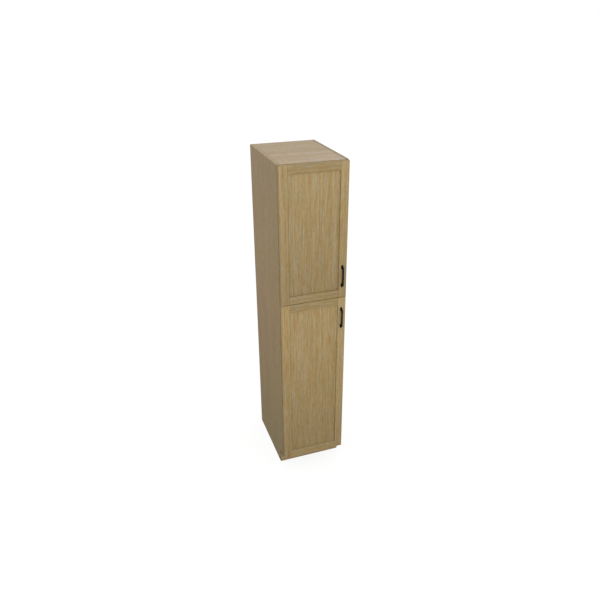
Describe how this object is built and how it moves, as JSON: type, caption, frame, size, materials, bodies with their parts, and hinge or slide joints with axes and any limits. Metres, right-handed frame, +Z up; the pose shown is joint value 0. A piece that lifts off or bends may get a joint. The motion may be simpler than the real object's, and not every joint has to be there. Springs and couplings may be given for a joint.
{
  "type": "broom cupboard",
  "caption": "Tall narrow cupboard with stacked frame-and-panel doors on concealed hinges, bow handles, shelves above, open broom space below and a recessed toe kick.",
  "frame": {"origin": "on the floor, in the middle of the overall width and of the overall depth, from the front of the handles to the rear edges of the sides", "axes": "+X to the right of someone facing the doors, +Y towards the wall behind, +Z up"},
  "size_m": [0.457, 0.66, 2.286],
  "materials": {
    "oak_board": "light oak veneer, satin lacquer, straight grain",
    "oak_frame": "solid light oak, satin lacquer, straight grain",
    "oak_panel": "light oak veneer on a flat panel, satin lacquer",
    "oak_back": "thin oak-faced board, satin",
    "birch_ply": "unfinished birch plywood",
    "beech_dowel": "unfinished fluted beech",
    "black_metal": "matt black powder coat",
    "nickel_steel": "nickel-plated pressed steel",
    "screw_steel": "zinc-plated steel",
    "zinc": "bare zinc die casting",
    "clear_bumper": "soft clear silicone"
  },
  "bodies": {
    "carcass": {"back_panel": "oak_back", "bottom_back_rail": "birch_ply", "bottom_board": "oak_board", "cam_bolts": "zinc", "cam_housings": "zinc", "dowels": "beech_dowel", "fixed_shelf": "oak_board", "high_adjustable_shelf": "oak_board", "left_side": "oak_board", "low_adjustable_shelf": "oak_board", "lower_arm_screws": "screw_steel", "lower_hinge_arms": "nickel_steel", "lower_hinge_plates": "nickel_steel", "lower_pivot_pins": "nickel_steel", "lower_plate_screws": "screw_steel", "middle_back_rail": "birch_ply", "right_side": "oak_board", "shelf_pins": "zinc", "toe_kick_board": "birch_ply", "toe_kick_skin": "oak_board", "top_back_rail": "birch_ply", "top_board": "oak_board", "upper_arm_screws": "screw_steel", "upper_hinge_arms": "nickel_steel", "upper_hinge_plates": "nickel_steel", "upper_pivot_pins": "nickel_steel", "upper_plate_screws": "screw_steel"},
    "upper_door": {"upper_door_bottom_rail": "oak_frame", "upper_door_bumpers": "clear_bumper", "upper_door_cup_screws": "screw_steel", "upper_door_handle": "black_metal", "upper_door_handle_screws": "screw_steel", "upper_door_handle_stile": "oak_frame", "upper_door_hinge_cups": "nickel_steel", "upper_door_hinge_stile": "oak_frame", "upper_door_panel": "oak_panel", "upper_door_top_rail": "oak_frame"},
    "upper_hinge_links": {"upper_hinge_links": "nickel_steel"},
    "lower_door": {"lower_door_bottom_rail": "oak_frame", "lower_door_bumpers": "clear_bumper", "lower_door_cup_screws": "screw_steel", "lower_door_handle": "black_metal", "lower_door_handle_screws": "screw_steel", "lower_door_handle_stile": "oak_frame", "lower_door_hinge_cups": "nickel_steel", "lower_door_hinge_stile": "oak_frame", "lower_door_panel": "oak_panel", "lower_door_top_rail": "oak_frame"},
    "lower_hinge_links": {"lower_hinge_links": "nickel_steel"}
  },
  "joints": [
    {"name": "upper_door_swing", "type": "hinge", "parent": "carcass", "child": "upper_door", "pos_m": [-0.218, -0.2955, 1.827], "axis": [0, 0, -1], "range_deg": [0, 110]},
    {"name": "upper_link_swing", "type": "hinge", "parent": "carcass", "child": "upper_hinge_links", "pos_m": [-0.1915, -0.2875, 1.827], "axis": [0, 0, 1], "range_deg": [0, 32]},
    {"name": "lower_door_swing", "type": "hinge", "parent": "carcass", "child": "lower_door", "pos_m": [-0.218, -0.2955, 0.7375], "axis": [0, 0, -1], "range_deg": [0, 110]},
    {"name": "lower_link_swing", "type": "hinge", "parent": "carcass", "child": "lower_hinge_links", "pos_m": [-0.1915, -0.2875, 0.7375], "axis": [0, 0, 1], "range_deg": [0, 32]}
  ],
  "couplings": [
    {"joint": "upper_link_swing", "follows": "upper_door_swing", "ratio": 0.29},
    {"joint": "lower_link_swing", "follows": "lower_door_swing", "ratio": 0.29}
  ]
}
